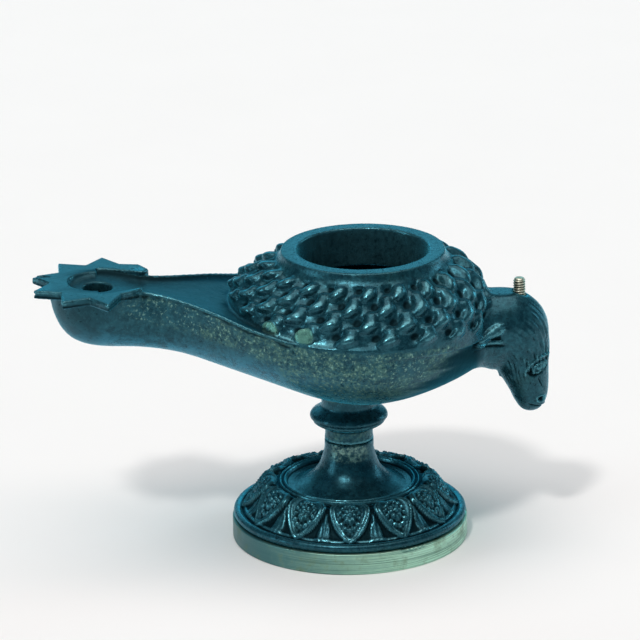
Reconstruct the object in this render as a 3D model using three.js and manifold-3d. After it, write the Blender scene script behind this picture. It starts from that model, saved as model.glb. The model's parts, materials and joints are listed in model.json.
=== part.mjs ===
// Pedestal oil lamp of cast bronze, in millimetres, +Z up, the nozzle towards -X and the head towards +X.
// The origin is the centre of the underside of the base plate. Levels of the body and of the stud are
// measured from the body's own underside, the bottom of the knop.
import * as THREE from "three";
import { ParametricGeometry } from "three/addons/geometries/ParametricGeometry.js";
import { mergeVertices } from "three/addons/utils/BufferGeometryUtils.js";
import Module from "manifold-3d";

const wasm = await Module();
wasm.setup();

// Fits
const jointGap = 0.3;
const wall = 2.7;

// Base plate
const plateRadius = 38.5;
const plateHeight = 6.9;
const plateEdge = 0.4;

// Foot, above the plate
const footHeight = 25.8;
const footInset = 0.4;
const beadHeight = 2.5;
const beadDepth = 1.7;
const ringRadius = 21.2;
const ringHeight = 11.5;
const ringWidth = 2.2;
const columnRadius = 8.0;
const columnFlare = [[17.2, -0.9], [13.6, 1.2], [10.6, 4.2], [8.9, 8.0]];
const flareHeight = 11.5;
const leafCount = 12;
const leafTurn = 4.9;
const leafRise = 1.1;
const leafOutwards = 0.45;
const leafUpwards = 0.85;

// Knop, between the foot's column and the hull
const collarRadius = 8.05;
const waistRadius = 7.7;
const lipRadius = 11.8;
const knopRadius = 12.75;
const neckRadius = 8.85;
const collarTop = 4.2;
const lipLevel = 6.2;
const knopLevel = 7.8;
const neckLevel = 11.6;

// Filling rim
const rimX = 5.1;
const rimHeight = 3.4;
const rimRadius = 26.6;
const mouthRadius = 21.4;
const mouthDepth = 14;
const shoulderRadius = 28.0;
const shoulderTop = 61.3;
const vaultTop = 0.28;

// Hull: stations along X for its half width, the level of its border and the level of its keel
const hullWidth = [
  [-96.4, 0.6], [-94, 7.0], [-88, 12.4], [-80, 14.0], [-72, 11.4], [-66, 9.4], [-60, 10.8],
  [-51, 16.0], [-41, 23.2], [-33, 29.2], [-22, 36.4], [-10, 41.5], [3, 43.2], [14, 41.6],
  [24, 36.4], [33, 27.6], [43, 14.6],
];
const hullBorder = [
  [-96.4, 56.3], [-76, 56.6], [-60, 54.6], [-45, 51.6], [-33, 48.3], [-20, 45.9], [2, 44.4],
  [20, 43.7], [33, 41.5], [43, 37.9],
];
const hullKeel = [
  [-96.4, 52.3], [-95.4, 47.7], [-93, 42.3], [-89, 38.3], [-82, 36.0], [-68, 34.8], [-55, 32.7],
  [-41, 28.1], [-25, 23.1], [-10, 18.1], [3, 15.9], [14, 16.7], [24, 18.8], [35, 21.8], [43, 24.9],
];
const waistBulge = 2.4;
const waistX = -63;
const waistSpan = 14;

// Star plate on the nozzle, a regular ten-point star but for one short tip and one that is lost
const starX = -78.4;
const starProud = 0.3;
const starThickness = 2.8;
const starTips = 10;
const starTipRadius = 24.7;
const starValleyRadius = 18.0;
const shortTipRadius = 19.8;
const lostTipRadius = 14.6;
const nozzleSideRadius = 10.0;

// Wick hole, its dish and the open channel behind it
const wickX = -80.9;
const wickRadius = 4.9;
const dishRadius = 9.6;
const channelDepth = 1.5;
const channelBorder = 1.2;
const channelFade = -38;
const channelEnd = -28;
const ductEnd = -91.4;
const reservoirEnd = 38.5;

// Scaled shoulder
const domeX = 4.2;
const domeNozzleRadius = 42.6;
const domeSideRadius = 43.4;
const domeHeadRadius = 40.4;
const domeHeadRise = 1.8;
const scalesInRow = 20;
const scaleRows = 4;
const scaleRise = 2.0;
const scaleHalf = 0.36;
const scaleTurn = 0.75;
const scaleLean = 0.28;

// Animal's head, bent down: stations of its middle line, half depth and half width
const headLine = [
  [38, 36.7], [46, 36.1], [52.2, 34.6], [55.6, 29.3], [57.4, 22.9], [59.0, 16.7], [59.6, 12.1],
  [59.4, 8.7],
];
const headDepth = [12.6, 13.2, 14.0, 10.8, 8.4, 6.7, 5.5, 3.6];
const headWidth = [13.4, 12.4, 11.4, 10.0, 8.8, 7.2, 5.8, 3.4];
const crownCut = 0.9;
const earHalfSizes = [5.6, 1.6, 2.0];
const earPlace = [45.6, 13.0, 36.3];
const earTilt = 0.12;
const eyeHalfSizes = [2.4, 1.2, 1.4];
const eyePlace = [62.0, 7.4, 24.1];
const eyeTilt = 0.5;

// Threaded stud left in the crown
const studX = 56.0;
const studRadius = 2.0;
const studPitch = 0.85;
const studHeight = 4.3;
const studSunk = 3.0;
const studThread = 0.3;

// Facets
const scaleFacets = 6;
const leafFacets = 6;
const turnedSides = 32;
const knopSides = 20;
const plateSides = 40;
const studSides = 8;

const footBottom = plateHeight + jointGap;
const footTop = footBottom + footHeight;
const bodyBottom = footTop + jointGap;

// A smooth function through a few stations [position, value]
function through(stations) {
  const slopes = stations.map((station, i) => {
    const before = stations[Math.max(i - 1, 0)];
    const after = stations[Math.min(i + 1, stations.length - 1)];
    return (after[1] - before[1]) / (after[0] - before[0]);
  });
  return (position) => {
    const last = stations.length - 2;
    let i = 0;
    while (i < last && position > stations[i + 1][0]) i += 1;
    const [x0, y0] = stations[i];
    const [x1, y1] = stations[i + 1];
    const span = x1 - x0;
    const t = THREE.MathUtils.clamp((position - x0) / span, 0, 1);
    const rise = (3 - 2 * t) * t * t;
    const leave = t * (1 - t) * (1 - t) * span * slopes[i];
    const arrive = t * t * (t - 1) * span * slopes[i + 1];
    return y0 + (y1 - y0) * rise + leave + arrive;
  };
}

// A closed geometry as a solid: equal corners are merged and faces without area are dropped
function solid(geometry) {
  geometry.deleteAttribute("normal");
  geometry.deleteAttribute("uv");
  const merged = mergeVertices(geometry, 1e-4);
  const index = merged.index.array;
  const faces = [];
  for (let i = 0; i < index.length; i += 3) {
    const [a, b, c] = [index[i], index[i + 1], index[i + 2]];
    if (a !== b && b !== c && c !== a) faces.push(a, b, c);
  }
  const mesh = (corners) =>
    new wasm.Mesh({
      numProp: 3,
      vertProperties: merged.attributes.position.array,
      triVerts: new Uint32Array(corners),
    });
  const made = new wasm.Manifold(mesh(faces));
  return made.volume() < 0 ? new wasm.Manifold(mesh(faces.reverse())) : made;
}

// A closed tube of rings: pointAt(turn, ring) for each ring, and a single point for the first and the last
function rings(count, sides, pointAt, first, last) {
  const place = (u, v, target) => {
    const ring = Math.round(v * (count + 1));
    const turn = (Math.round(u * sides) % sides) / sides;
    if (ring === 0) target.copy(first);
    else if (ring === count + 1) target.copy(last);
    else target.copy(pointAt(turn, ring - 1));
  };
  return solid(new ParametricGeometry(place, sides, count + 1));
}

// A turned solid about the vertical through (x, 0), from a profile of [radius, level]
function turned(profile, x = 0, sides = turnedSides) {
  const geometry = new THREE.LatheGeometry(profile.map(([r, z]) => new THREE.Vector2(r, z)), sides);
  geometry.rotateX(Math.PI / 2);
  geometry.translate(x, 0, 0);
  return solid(geometry);
}

function disc(radius, bottom, top, x = 0, sides = turnedSides) {
  return turned([[0, bottom], [radius, bottom], [radius, top], [0, top]], x, sides);
}

function joined(solids) {
  return solids.reduce((whole, next) => whole.add(next));
}

// Hull

const widthAt = through(hullWidth);
const borderAt = through(hullBorder);
const keelAt = through(hullKeel);
const starTop = borderAt(starX) + starProud;
const sectionPower = 2.25;

function bulgeAt(x) {
  return waistBulge * Math.exp(-(((x - waistX) / waistSpan) ** 2));
}

// Stations along X, closer together where the nozzle's end rounds off
function hullStations(from, to, count) {
  const place = (i) => (i / (count - 1)) ** 1.25;
  return Array.from({ length: count }, (_, i) => from + (to - from) * place(i));
}

// A boat-shaped solid under a flat deck, shrunk by inset all round
function boat(from, to, count, sides, inset, deckAt) {
  const stations = hullStations(from, to, count);
  const deckSides = 4;
  const pointAt = (turn, ring) => {
    const x = stations[ring];
    const half = Math.max(widthAt(x) - inset, 0.3);
    const deck = deckAt(x);
    const depth = Math.max(deck - keelAt(x) - inset, 0.3);
    const step = Math.round(turn * sides);
    if (step < deckSides) return new THREE.Vector3(x, half - (2 * half * step) / deckSides, deck);
    const angle = (Math.PI * (step - deckSides)) / (sides - deckSides);
    const side = Math.sign(Math.cos(angle)) * Math.abs(Math.cos(angle)) ** (2 / sectionPower);
    const down = Math.sin(angle) ** (2 / sectionPower);
    const bulge = bulgeAt(x) * Math.sin(2 * angle);
    return new THREE.Vector3(x, -half * side - bulge, deck - depth * down);
  };
  const middle = (x) => new THREE.Vector3(x, 0, (deckAt(x) + keelAt(x)) / 2);
  return rings(count, sides, pointAt, middle(stations[0]), middle(stations[count - 1]));
}

// Shoulder

const rimTop = shoulderTop + rimHeight;
const domeNozzleLevel = borderAt(domeX - domeNozzleRadius);
const domeSideLevel = borderAt(domeX);
const domeHeadLevel = borderAt(domeX + domeHeadRadius) + domeHeadRise;

// A value that goes round from the head's side over the flank to the nozzle's side
function around(azimuth, atHead, atSide, atNozzle) {
  const c = Math.cos(azimuth);
  return atSide + (c > 0 ? (atHead - atSide) * c * c : (atNozzle - atSide) * c * c);
}

// Fullness of the shoulder's curve, greater beside the head
function fullness(azimuth) {
  return around(azimuth, 3.6, 1.4, 1.7);
}

// Point of the plain shoulder: down is 0 at the collar and 1 at the hull's border
function shoulderPoint(azimuth, down, inset) {
  const outer = around(azimuth, domeHeadRadius, domeSideRadius, domeNozzleRadius);
  const low = around(azimuth, domeHeadLevel, domeSideLevel, domeNozzleLevel);
  const centre = THREE.MathUtils.lerp(rimX, domeX, down);
  const spread = 1 - (1 - down) ** fullness(azimuth);
  const radius = THREE.MathUtils.lerp(shoulderRadius, outer, spread) - inset;
  const level = THREE.MathUtils.lerp(shoulderTop, low, down) - inset;
  return new THREE.Vector3(centre + radius * Math.cos(azimuth), radius * Math.sin(azimuth), level);
}

// Height of the overlapping scales, which lean a little as they hang
function scaleHeight(azimuth, down) {
  const rowPitch = 1 / (scaleRows + 0.2);
  let height = 0;
  for (let row = 0; row < scaleRows; row += 1) {
    const tip = (row + 1) * rowPitch;
    const along = 1 - (tip - down) / (2 * rowPitch);
    if (along < 0 || along > 1) continue;
    const round = (azimuth / (2 * Math.PI)) * scalesInRow;
    const turns = round - scaleTurn + row / 2 - 2 * scaleLean * (1 - along);
    const across = (turns - Math.round(turns)) / (scaleHalf * Math.sqrt(1 - along ** 4) + 1e-6);
    if (Math.abs(across) >= 1) continue;
    const crown = Math.sqrt(1 - across * across) * (1 + 0.3 * across);
    height = Math.max(height, scaleRise * (0.2 + 0.8 * along) * crown);
  }
  return height;
}

function shoulder() {
  const sides = scalesInRow * scaleFacets;
  const scaledRings = 9;
  const pointAt = (turn, ring) => {
    const azimuth = 2 * Math.PI * turn;
    const down = Math.min(ring / scaledRings, 1);
    const point = shoulderPoint(azimuth, down, 0);
    const lift = scaleHeight(azimuth, down) * Math.SQRT1_2;
    point.x += lift * Math.cos(azimuth);
    point.y += lift * Math.sin(azimuth);
    point.z += lift;
    return point;
  };
  const top = new THREE.Vector3(rimX, 0, shoulderTop);
  const bottom = new THREE.Vector3(domeX, 0, domeHeadLevel);
  return rings(scaledRings + 1, sides, pointAt, top, bottom);
}

// Star plate

function starPlate() {
  const step = Math.PI / starTips;
  const shortTip = 2;
  const lostTip = 2 * starTips - 4;
  const shape = new THREE.Shape();
  for (let i = 0; i < 2 * starTips; i += 1) {
    const angle = step * (i + 1);
    const tip = i % 2 === 0;
    let radius = tip ? starTipRadius : starValleyRadius;
    if (i === shortTip) radius = shortTipRadius;
    if (Math.abs(i - lostTip) < 2) radius = lostTipRadius;
    if (i === 0 || i > 2 * starTips - 3) radius = nozzleSideRadius;
    const place = [radius * Math.cos(angle), radius * Math.sin(angle)];
    if (i === 0) shape.moveTo(...place);
    else shape.lineTo(...place);
  }
  const geometry = new THREE.ExtrudeGeometry(shape, { depth: starThickness, bevelEnabled: false });
  geometry.translate(starX, 0, starTop - starThickness);
  return solid(geometry);
}

// Channel cut into the nozzle's deck, with the dish round the wick hole
function channel() {
  const stations = 10;
  const sides = 12;
  const from = wickX - dishRadius;
  const pointAt = (turn, ring) => {
    const x = THREE.MathUtils.lerp(from, channelEnd, ring / (stations - 1));
    const dish = Math.sqrt(Math.max(1 - ((x - wickX) / dishRadius) ** 2, 0)) * dishRadius;
    const open = x > wickX ? widthAt(x) - channelBorder : 0;
    const half = Math.max(Math.min(Math.max(dish, open), widthAt(x) - channelBorder), 0.4);
    const angle = 2 * Math.PI * turn;
    const deck = Math.min(borderAt(x), starTop);
    const deep = channelDepth * (1 - THREE.MathUtils.smoothstep(x, channelFade, channelEnd + 0.5));
    const level = (Math.sin(angle) > 0 ? 3 : deep) * Math.sin(angle);
    return new THREE.Vector3(x, half * Math.cos(angle), deck + level);
  };
  const end = (x) => new THREE.Vector3(x, 0, borderAt(x));
  return rings(stations, sides, pointAt, end(from), end(channelEnd));
}

// Head

const headTops = headLine.map(([, level], i) => level + headDepth[i]);
const crownLevel = Math.max(...headTops) - crownCut;

function headSolid() {
  const sides = 12;
  const line = new THREE.CatmullRomCurve3(headLine.map(([x, z]) => new THREE.Vector3(x, 0, z)));
  const count = 11;
  const last = headLine.length - 1;
  const depthAt = through(headDepth.map((value, i) => [i / last, value]));
  const widthOf = through(headWidth.map((value, i) => [i / last, value]));
  const pointAt = (turn, ring) => {
    const t = ring / (count - 1);
    const middle = line.getPoint(t);
    const along = line.getTangent(t);
    const out = new THREE.Vector3(-along.z, 0, along.x);
    const angle = 2 * Math.PI * turn;
    return middle
      .clone()
      .addScaledVector(out, depthAt(t) * Math.cos(angle))
      .add(new THREE.Vector3(0, widthOf(t) * Math.sin(angle), 0));
  };
  const muzzle = line.getPoint(1).add(new THREE.Vector3(0, 0, -1.2));
  const head = rings(count, sides, pointAt, line.getPoint(0), muzzle);
  const size = 4 * headWidth[0];
  const above = new THREE.BoxGeometry(size, size, size);
  above.translate(line.getPoint(0).x + headWidth[0], 0, crownLevel + size / 2);
  return head.subtract(solid(above));
}

// A small rounded form: a ball stretched to half sizes, tilted about Y and set in place
function pebble(halfSizes, tilt, place) {
  const geometry = new THREE.SphereGeometry(1, 8, 5);
  geometry.scale(...halfSizes);
  geometry.rotateY(tilt);
  geometry.translate(...place);
  return solid(geometry);
}

function headTrim() {
  const forms = [];
  for (const side of [-1, 1]) {
    forms.push(pebble(earHalfSizes, earTilt, [earPlace[0], side * earPlace[1], earPlace[2]]));
    forms.push(pebble(eyeHalfSizes, eyeTilt, [eyePlace[0], side * eyePlace[1], eyePlace[2]]));
  }
  return joined(forms);
}

// Knop and filling rim

function knop() {
  const reach = keelAt(0) + wall / 2;
  const profile = [
    [0, 0], [collarRadius, 0], [waistRadius, 1.6], [waistRadius, collarTop],
    [lipRadius - 1.2, lipLevel - 0.8], [lipRadius, lipLevel], [lipRadius - 0.4, lipLevel + 0.7],
    [knopRadius - 0.2, knopLevel - 0.5], [knopRadius, knopLevel], [knopRadius - 0.9, knopLevel + 1.6],
    [knopRadius - 2.6, knopLevel + 2.7], [neckRadius, neckLevel], [neckRadius, reach], [0, reach],
  ];
  return turned(profile, 0, knopSides);
}

function rim() {
  const under = shoulderTop - 2;
  const profile = [
    [0, under], [shoulderRadius - 0.3, under], [shoulderRadius + 0.2, shoulderTop],
    [rimRadius + 0.4, rimTop - 0.4], [rimRadius, rimTop], [0, rimTop],
  ];
  return turned(profile, rimX);
}

// Hollow of the reservoir and of the nozzle, and the holes that lead into it. Its vault starts below the
// neck, at the share vaultTop of the way down the shoulder.
function hollow() {
  const duct = 1.1 + channelDepth + wall;
  const deckAt = (x) => borderAt(x) - duct * THREE.MathUtils.smoothstep(-x, 25, 42);
  const inner = boat(ductEnd, reservoirEnd, 13, 14, wall, deckAt);
  const down = [vaultTop, 0.45, 0.65, 0.85, 1];
  const vault = rings(
    down.length,
    20,
    (turn, ring) => {
      const point = shoulderPoint(2 * Math.PI * turn, down[ring], wall * 0.85);
      const reach = widthAt(point.x) - wall;
      return point.setY(THREE.MathUtils.clamp(point.y, -reach, reach));
    },
    shoulderPoint(0, vaultTop, wall * 0.85).setX(rimX),
    new THREE.Vector3(domeX, 0, domeHeadLevel - 3),
  );
  const mouth = disc(mouthRadius, rimTop - mouthDepth, rimTop + 1, rimX);
  const wick = disc(wickRadius, keelAt(wickX) + wall + 4, starTop + 1, wickX, 20);
  return joined([inner, vault, mouth, wick]);
}

function lampBody() {
  const deckAt = (x) => Math.min(borderAt(x), starTop);
  const hull = boat(hullWidth[0][0], hullWidth.at(-1)[0], 24, 18, 0, deckAt);
  const nozzle = hull.add(starPlate()).subtract(channel());
  const solidBody = joined([nozzle, shoulder(), rim(), headSolid(), headTrim(), knop()]);
  const holeBottom = crownLevel - studSunk - jointGap;
  const studHole = disc(studRadius + jointGap, holeBottom, crownLevel + 1, studX, studSides);
  return solidBody.subtract(hollow()).subtract(studHole);
}

// Foot

const footRadius = plateRadius - footInset;
const beadGroove = footRadius - beadDepth;

// Profile of the leaf band: out is 0 beside the double ring and 1 at the bead. It swells, then flares.
const bandSwell = through([
  [0, 0], [0.14, -0.06], [0.36, 0.12], [0.56, 0.46], [0.72, 0.78], [0.84, 0.93], [1, 1],
]);

function bandPoint(out) {
  const inner = ringRadius + ringWidth;
  const radius = THREE.MathUtils.lerp(inner, beadGroove, out);
  const fall = ringHeight - 0.6 - beadHeight;
  return [radius, footBottom + ringHeight - 0.6 - fall * bandSwell(out)];
}

// Height of the leaves: pointed frames round an oval boss, with a blade between each two
function leafHeight(azimuth, out) {
  const turned = azimuth + THREE.MathUtils.degToRad(90 + leafTurn);
  const turns = (turned / (2 * Math.PI)) * leafCount;
  const across = 2 * Math.abs(turns - Math.round(turns));
  const frame = 0.86 * Math.sin(Math.PI * Math.min(Math.max(out, 0.02), 0.97) ** 0.62);
  const inside = THREE.MathUtils.smoothstep(frame - across, -0.06, 0.12);
  const boss = Math.max(1 - (across / 0.5) ** 2 - ((out - 0.4) / 0.26) ** 2, 0);
  const blade = THREE.MathUtils.smoothstep(across, 0.84, 1) * Math.sin(Math.PI * out);
  const relief = 0.75 * inside + 0.5 * Math.sqrt(boss) + 0.75 * blade;
  return leafRise * relief * Math.sin(Math.PI * Math.min(out, 1)) ** 0.4;
}

function leafBand() {
  const sides = leafCount * leafFacets;
  const bandRings = 9;
  const edge = [
    [beadGroove, footBottom + beadHeight], [footRadius - 0.5, footBottom + beadHeight - 0.2],
    [footRadius, footBottom + beadHeight / 2], [footRadius - 0.5, footBottom],
  ];
  const pointAt = (turn, ring) => {
    const azimuth = 2 * Math.PI * turn;
    const out = ring / (bandRings - 1);
    let [radius, level] = ring < bandRings ? bandPoint(out) : edge[ring - bandRings];
    if (ring < bandRings) {
      const lift = leafHeight(azimuth, out);
      radius += lift * leafOutwards;
      level += lift * leafUpwards;
    }
    return new THREE.Vector3(radius * Math.cos(azimuth), radius * Math.sin(azimuth), level);
  };
  const top = new THREE.Vector3(0, 0, bandPoint(0)[1]);
  const bottom = new THREE.Vector3(0, 0, footBottom);
  return rings(bandRings + edge.length, sides, pointAt, top, bottom);
}

function footSolid() {
  const at = (level) => footBottom + level;
  const outer = ringRadius + ringWidth;
  const flare = columnFlare.map(([radius, level]) => [radius, at(ringHeight + level)]);
  const core = turned([
    [0, at(1)], [outer, at(1)], [outer, at(ringHeight - 0.7)], [outer - 0.5, at(ringHeight - 0.1)],
    [ringRadius + 0.7, at(ringHeight - 0.5)], [ringRadius, at(ringHeight)],
    [ringRadius - 0.9, at(ringHeight - 0.9)], ...flare, [columnRadius, at(ringHeight + flareHeight)],
    [columnRadius, footTop], [0, footTop],
  ]);
  return core.add(leafBand());
}

function basePlate() {
  const profile = [
    [0, 0], [plateRadius - plateEdge, 0], [plateRadius, plateEdge],
    [plateRadius, plateHeight - plateEdge], [plateRadius - plateEdge, plateHeight], [0, plateHeight],
  ];
  return turned(profile, 0, plateSides);
}

function handleStud() {
  const bottom = crownLevel - studSunk;
  const core = studRadius - studThread;
  const profile = [[0, bottom], [core, bottom]];
  const turns = Math.floor((studHeight - 0.5) / studPitch);
  for (let i = 0; i < turns; i += 1) {
    profile.push([core, crownLevel + studPitch * i + 0.2]);
    profile.push([studRadius, crownLevel + studPitch * (i + 0.5)]);
  }
  profile.push([core - 0.1, crownLevel + studHeight - 0.3], [0, crownLevel + studHeight]);
  return turned(profile, studX, studSides);
}

// Named meshes

function named(name, shape, level, look) {
  const made = shape.getMesh();
  const geometry = new THREE.BufferGeometry();
  geometry.setAttribute("position", new THREE.BufferAttribute(made.vertProperties, 3));
  geometry.setIndex(new THREE.BufferAttribute(made.triVerts, 1));
  geometry.computeVertexNormals();
  const mesh = new THREE.Mesh(geometry, new THREE.MeshStandardMaterial(look));
  mesh.name = name;
  mesh.position.z = level;
  return mesh;
}

const lamp = new THREE.Group();
lamp.add(
  named("lamp_body", lampBody(), bodyBottom, { color: 0x16343c, roughness: 0.45, metalness: 0.7 }),
  named("foot", footSolid(), 0, { color: 0x173840, roughness: 0.42, metalness: 0.7 }),
  named("base_plate", basePlate(), 0, { color: 0xa9b79a, roughness: 0.4, metalness: 0.85 }),
  named("handle_stud", handleStud(), bodyBottom, { color: 0xb59a5c, roughness: 0.4, metalness: 0.85 }),
);

export default lamp;
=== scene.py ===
"""Cast bronze pedestal lamp: fine surfaces, materials, light and camera around the fixed frame.

Shapes are worked out in millimetres. Named levels of the body, foot and base plate are measured from each
one's own underside, and those of the stud from the body's.
"""
import json
import math

import bmesh
import bpy
import numpy as np
from mathutils import Matrix, Vector

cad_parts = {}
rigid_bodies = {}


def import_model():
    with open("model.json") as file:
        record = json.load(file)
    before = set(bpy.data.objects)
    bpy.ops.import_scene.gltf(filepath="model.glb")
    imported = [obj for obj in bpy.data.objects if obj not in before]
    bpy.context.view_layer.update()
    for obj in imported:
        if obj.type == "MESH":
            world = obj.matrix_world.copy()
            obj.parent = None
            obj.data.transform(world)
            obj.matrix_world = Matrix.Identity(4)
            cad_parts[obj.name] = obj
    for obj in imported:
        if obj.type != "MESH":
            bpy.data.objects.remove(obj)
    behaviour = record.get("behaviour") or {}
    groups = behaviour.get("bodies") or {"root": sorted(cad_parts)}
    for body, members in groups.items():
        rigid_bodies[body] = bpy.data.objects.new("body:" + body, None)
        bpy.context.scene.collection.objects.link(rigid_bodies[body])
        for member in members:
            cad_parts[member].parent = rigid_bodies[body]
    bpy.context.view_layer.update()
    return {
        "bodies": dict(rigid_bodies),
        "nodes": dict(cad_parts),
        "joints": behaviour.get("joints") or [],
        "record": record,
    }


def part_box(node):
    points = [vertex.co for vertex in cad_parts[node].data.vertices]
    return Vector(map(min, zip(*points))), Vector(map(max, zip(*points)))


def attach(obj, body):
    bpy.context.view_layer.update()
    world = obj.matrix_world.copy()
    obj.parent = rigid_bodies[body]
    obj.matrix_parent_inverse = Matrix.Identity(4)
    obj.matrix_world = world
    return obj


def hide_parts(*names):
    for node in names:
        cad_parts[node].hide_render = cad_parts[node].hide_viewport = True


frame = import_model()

MM = 0.001
BODY_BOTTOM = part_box("lamp_body")[0].z / MM
FOOT_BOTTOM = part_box("foot")[0].z / MM
FOOT_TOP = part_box("foot")[1].z / MM
PLATE_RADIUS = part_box("base_plate")[1].x / MM
PLATE_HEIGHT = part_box("base_plate")[1].z / MM

# Body: filling rim and scaled shoulder
WALL = 2.7
RIM_X = 5.1
RIM_HEIGHT = 3.4
RIM_RADIUS = 26.6
MOUTH_RADIUS = 21.4
NECK_DEPTH = 13
MOUTH_DEPTH = 14
SHOULDER_RADIUS = 28.0
SHOULDER_TOP = 61.3
RIM_TOP = SHOULDER_TOP + RIM_HEIGHT
DOME_X = 4.2
DOME_NOZZLE_RADIUS = 42.6
DOME_SIDE_RADIUS = 42.9
DOME_HEAD_RADIUS = 40.4
DOME_HEAD_RISE = 1.8
DOME_FULLNESS = (3.6, 1.4, 1.7)
SCALES_IN_ROW = 20
SCALE_ROWS = 4
SCALE_RISE = 2.0
SCALE_HOLLOW = 1.2
SCALE_TURN = 0.75
# Azimuth and share of the way down the shoulder of each boss
BOSSES = ((math.radians(-137.3), 0.98), (math.radians(-120.3), 0.89))
BOSS_RADIUS = 3.2
BOSS_OUT = 42.0
BOSS_FALL = 21.0

# Body: stations of the hull for its half width, the level of its border and the level of its keel
HULL_WIDTH = [
    (-96.4, 0.6), (-94, 7.0), (-88, 12.4), (-80, 14.0), (-72, 11.4), (-66, 9.4), (-60, 10.8), (-51, 16.0),
    (-41, 23.2), (-33, 29.2), (-22, 36.4), (-10, 41.5), (3, 43.2), (14, 41.6), (24, 36.4), (33, 27.6),
    (43, 14.6), (46, 11.4), (48.6, 6.0), (49.6, 1.0),
]
HULL_BORDER = [
    (-96.4, 56.3), (-76, 56.6), (-60, 54.6), (-45, 51.6), (-33, 48.3), (-20, 45.9), (2, 44.4), (20, 43.7),
    (33, 41.5), (43, 37.9), (49.6, 36.0),
]
HULL_KEEL = [
    (-96.4, 52.3), (-95.4, 47.7), (-93, 42.3), (-89, 38.3), (-82, 36.0), (-68, 34.8), (-55, 32.7),
    (-41, 28.1), (-25, 23.1), (-10, 18.1), (3, 15.9), (14, 16.7), (24, 18.8), (35, 21.8), (43, 24.9),
]
WAIST_BULGE = 2.4
WAIST_X = -63
WAIST_SPAN = 14
SECTION_POWER = 2.25

# Body: star plate, wick hole and channel
STAR_X = -78.4
STAR_PROUD = 0.3
STAR_THICKNESS = 2.8
STAR_TIPS = 10
STAR_TIP_RADIUS = 24.7
STAR_VALLEY_RADIUS = 18.0
SHORT_TIP_RADIUS = 19.8
LOST_TIP_RADIUS = 14.6
NOZZLE_SIDE_RADIUS = 10.0
GROOVED_TIP_TURN = math.radians(162)
GROOVED_EDGE_TURN = -2.83
WICK_X = -80.9
WICK_RADIUS = 4.9
DISH_RADIUS = 9.6
CHANNEL_DEPTH = 1.9
CHANNEL_BORDER = 1.2
CHANNEL_FADE = -38
CHANNEL_END = -28

# Body: head and knop
HEAD_LINE = [
    (38, 36.7), (46, 36.1), (52.2, 34.6), (55.6, 29.3), (57.4, 22.9), (59.0, 16.7), (59.6, 12.1), (59.4, 8.7),
]
HEAD_DEPTH = [12.6, 13.2, 14.0, 10.8, 8.4, 6.7, 5.5, 3.6]
HEAD_WIDTH = [13.4, 12.4, 11.4, 10.0, 8.8, 7.2, 5.8, 3.4]
CROWN_LEVEL = 48.4
EYE_PLACE = (61.7, 24.3)
EYE_TURN = math.radians(32)
NOSTRIL_PLACE = (62.4, 12.6)
LIPS_PLACE = (62, 9.6)
EAR_TIP = (40.0, 36.0)
EAR_ROOT = (47.8, 39.2)
FINE_HEAD_START = 38.5
FINE_FACE_START = 57
FINE_FACE_TOP = 30
KNOP_PROFILE = [
    (0, 0), (8.05, 0), (7.75, 1.3), (7.7, 4.0), (8.0, 4.35), (10.7, 5.45), (11.8, 6.2), (11.75, 6.6),
    (11.3, 6.8), (12.4, 7.25), (12.75, 7.8), (12.6, 8.6), (11.9, 9.4), (10.3, 10.4), (9.1, 11.2),
    (8.85, 11.8), (8.85, 17.4), (0, 17.4),
]
STUD_X = 56.0
STUD_RADIUS = 2.0
STUD_GAP = 0.3
STUD_SUNK = 3.0
STUD_HEIGHT = 4.3
STUD_PITCH = 0.85

# Foot
FOOT_INSET = 0.4
BEAD_HEIGHT = 2.5
BEAD_DEPTH = 1.7
RING_RADIUS = 21.2
RING_HEIGHT = 11.5
RING_WIDTH = 2.2
COLUMN_RADIUS = 8.0
LEAF_COUNT = 12
LEAF_TURN = math.radians(4.9)
FOOT_RADIUS = PLATE_RADIUS - FOOT_INSET
BAND_ROWS = 80
FOOT_SIDES = 480
CHIP_TURNS = (-1.19, -1.165, -1.12, -1.08, -1.03, -0.99, -2.2, 0.4, 1.9, 2.7)

# Sample points of the body
STEP = 0.52
LOW = np.array([-105.0, -46.0, -2.0])
HIGH = np.array([68.0, 46.0, 68.0])
BODY_FACES = 100000


# Helpers for shapes

def through(stations):
    """A smooth function through stations (position, value), level beyond its ends."""
    xs = np.array([s[0] for s in stations], float)
    ys = np.array([s[1] for s in stations], float)
    slopes = np.gradient(ys, xs)
    slopes[1:-1] = (ys[2:] - ys[:-2]) / (xs[2:] - xs[:-2])

    def value(position):
        position = np.asarray(position, float)
        i = np.clip(np.searchsorted(xs, position) - 1, 0, len(xs) - 2)
        span = xs[i + 1] - xs[i]
        t = np.clip((position - xs[i]) / span, 0, 1)
        rise = (3 - 2 * t) * t * t
        leave = t * (1 - t) ** 2 * span * slopes[i]
        arrive = t * t * (t - 1) * span * slopes[i + 1]
        return ys[i] + (ys[i + 1] - ys[i]) * rise + leave + arrive

    return value


def mix(a, b, t):
    return a + (b - a) * t


def smooth(value, low, high):
    t = np.clip((value - low) / (high - low), 0, 1)
    return t * t * (3 - 2 * t)


def hump(value, middle, width):
    return np.exp(-(((value - middle) / width) ** 2))


def melt(a, b, reach):
    """Union of two forms, with a fillet."""
    h = np.clip(0.5 + 0.5 * (b - a) / reach, 0, 1)
    return b + (a - b) * h - reach * h * (1 - h)


def both(a, b, reach):
    """What two forms share, with a rounded edge."""
    return -melt(-a, -b, reach)


def cut(a, b, reach):
    """The form a without the form b, with a rounded edge."""
    return -melt(-a, b, reach)


def evened(field):
    """A field whose values are distances near its surface."""
    slopes = np.gradient(field, STEP)
    steepness = np.sqrt(sum(s * s for s in slopes))
    return field / np.maximum(steepness, 0.3)


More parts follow.
